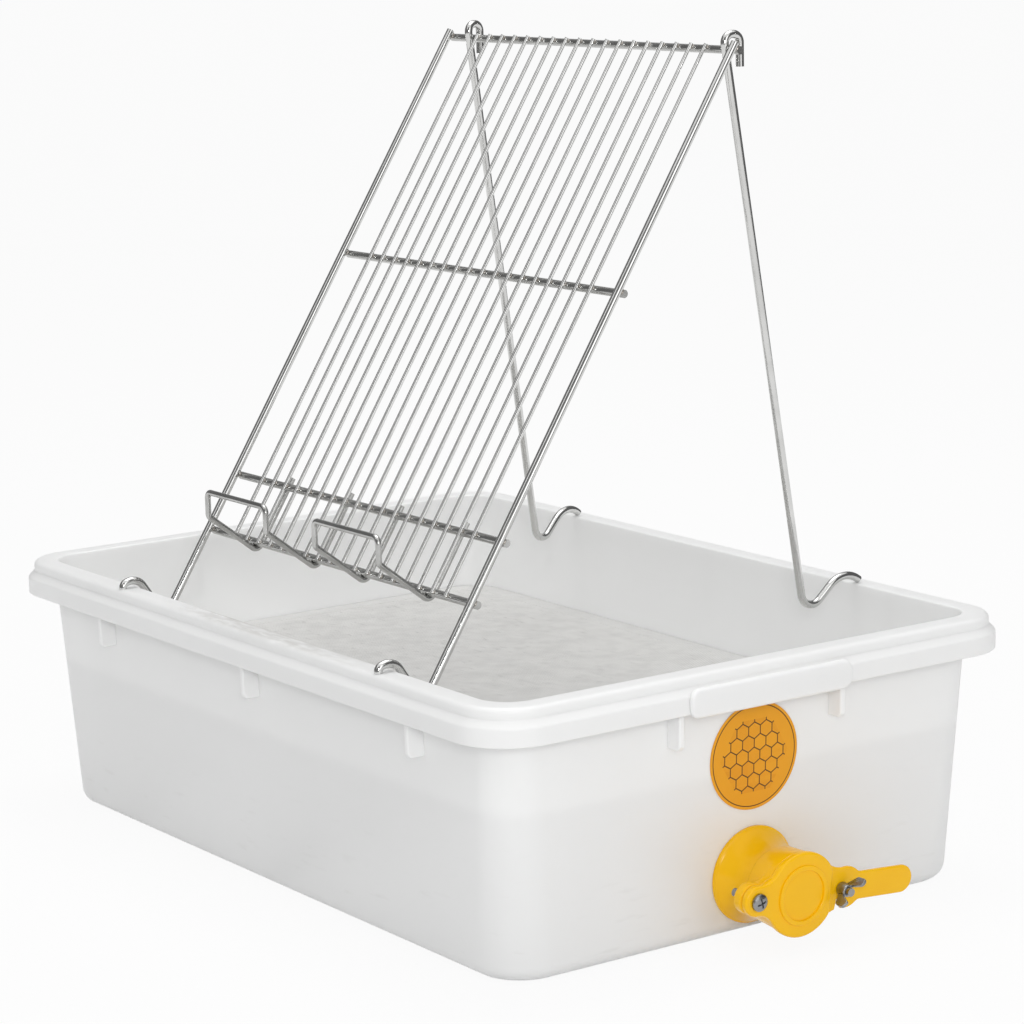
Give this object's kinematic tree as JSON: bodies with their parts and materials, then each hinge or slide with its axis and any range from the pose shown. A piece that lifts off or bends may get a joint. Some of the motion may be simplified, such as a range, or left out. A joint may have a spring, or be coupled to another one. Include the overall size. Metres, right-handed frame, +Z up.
{
  "type": "uncapping tank",
  "caption": "Moulded rectangular tub with a lever honey gate, a lift-out strainer and a leaning wire rack that hooks over the rim to hold comb frames for uncapping.",
  "frame": {"origin": "centre of the tub's underside, on the floor plane", "axes": "+Z up, +X along the tub's length towards the honey gate, -Y towards the side that the rack's rails hook over"},
  "size_m": [0.7274, 0.4696, 0.6222],
  "materials": {
    "tub_white": "moulded, slightly waxy",
    "gate_yellow": "gloss",
    "wire_steel": "bright drawn",
    "strainer_steel": "dull perforated",
    "seal_rubber": "matt",
    "label_paper": "printed film"
  },
  "bodies": {
    "tub": {"tub": "tub_white", "label_disc": "label_paper", "gate_body": "gate_yellow", "gate_gasket": "seal_rubber", "gate_ring_nut": "gate_yellow", "gate_face_ring": "seal_rubber", "pivot_screw": "wire_steel", "pivot_nut": "wire_steel", "clamp_stud": "wire_steel"},
    "gate_plate": {"gate_plate": "gate_yellow"},
    "wing_nut": {"wing_nut": "wire_steel"},
    "strainer": {"strainer_sheet": "strainer_steel", "strainer_foot_left": "wire_steel", "strainer_foot_right": "wire_steel"},
    "rack": {"rail_left": "wire_steel", "rail_right": "wire_steel", "bar_top": "wire_steel", "bar_middle": "wire_steel", "bar_lower": "wire_steel", "bar_bottom": "wire_steel", "comb_rest_left": "wire_steel", "comb_rest_right": "wire_steel", "grid_wire_01": "wire_steel", "grid_wire_02": "wire_steel", "grid_wire_03": "wire_steel", "grid_wire_04": "wire_steel", "grid_wire_05": "wire_steel", "grid_wire_06": "wire_steel", "grid_wire_07": "wire_steel", "grid_wire_08": "wire_steel", "grid_wire_09": "wire_steel", "grid_wire_10": "wire_steel", "grid_wire_11": "wire_steel", "grid_wire_12": "wire_steel", "grid_wire_13": "wire_steel", "grid_wire_14": "wire_steel", "grid_wire_15": "wire_steel", "grid_wire_16": "wire_steel", "grid_wire_17": "wire_steel", "grid_wire_18": "wire_steel"},
    "leg_left": {"leg_left": "wire_steel"},
    "leg_right": {"leg_right": "wire_steel"}
  },
  "joints": [
    {"name": "gate_lift", "type": "hinge", "parent": "tub", "child": "gate_plate", "pos_m": [0.3676, -0.03818, 0.04352], "axis": [0.9991, 0, -0.0425], "range_deg": [0, 85]},
    {"name": "wing_nut_turn", "type": "hinge", "parent": "tub", "child": "wing_nut", "pos_m": [0.37314, 0.03809, 0.03728], "axis": [0.9991, 0, -0.0425], "continuous": true},
    {"name": "rack_lift", "type": "slide", "parent": "tub", "child": "rack", "axis": [0, 0, 1], "range_m": [0, 0.35]},
    {"name": "leg_left_fold", "type": "hinge", "parent": "rack", "child": "leg_left", "pos_m": [-0.1408, 0.09851, 0.60781], "axis": [-1, 0, 0], "range_deg": [0, 35]},
    {"name": "leg_right_fold", "type": "hinge", "parent": "rack", "child": "leg_right", "pos_m": [0.1844, 0.09851, 0.60781], "axis": [-1, 0, 0], "range_deg": [0, 35]},
    {"name": "strainer_lift", "type": "slide", "parent": "tub", "child": "strainer", "axis": [0, 0, 1], "range_m": [0, 0.21]}
  ],
  "couplings": [
    {"joint": "leg_left_fold", "follows": "rack_lift", "rad_per_m": 1.74},
    {"joint": "leg_right_fold", "follows": "rack_lift", "rad_per_m": 1.74},
    {"joint": "strainer_lift", "follows": "rack_lift", "ratio": 0.59}
  ]
}
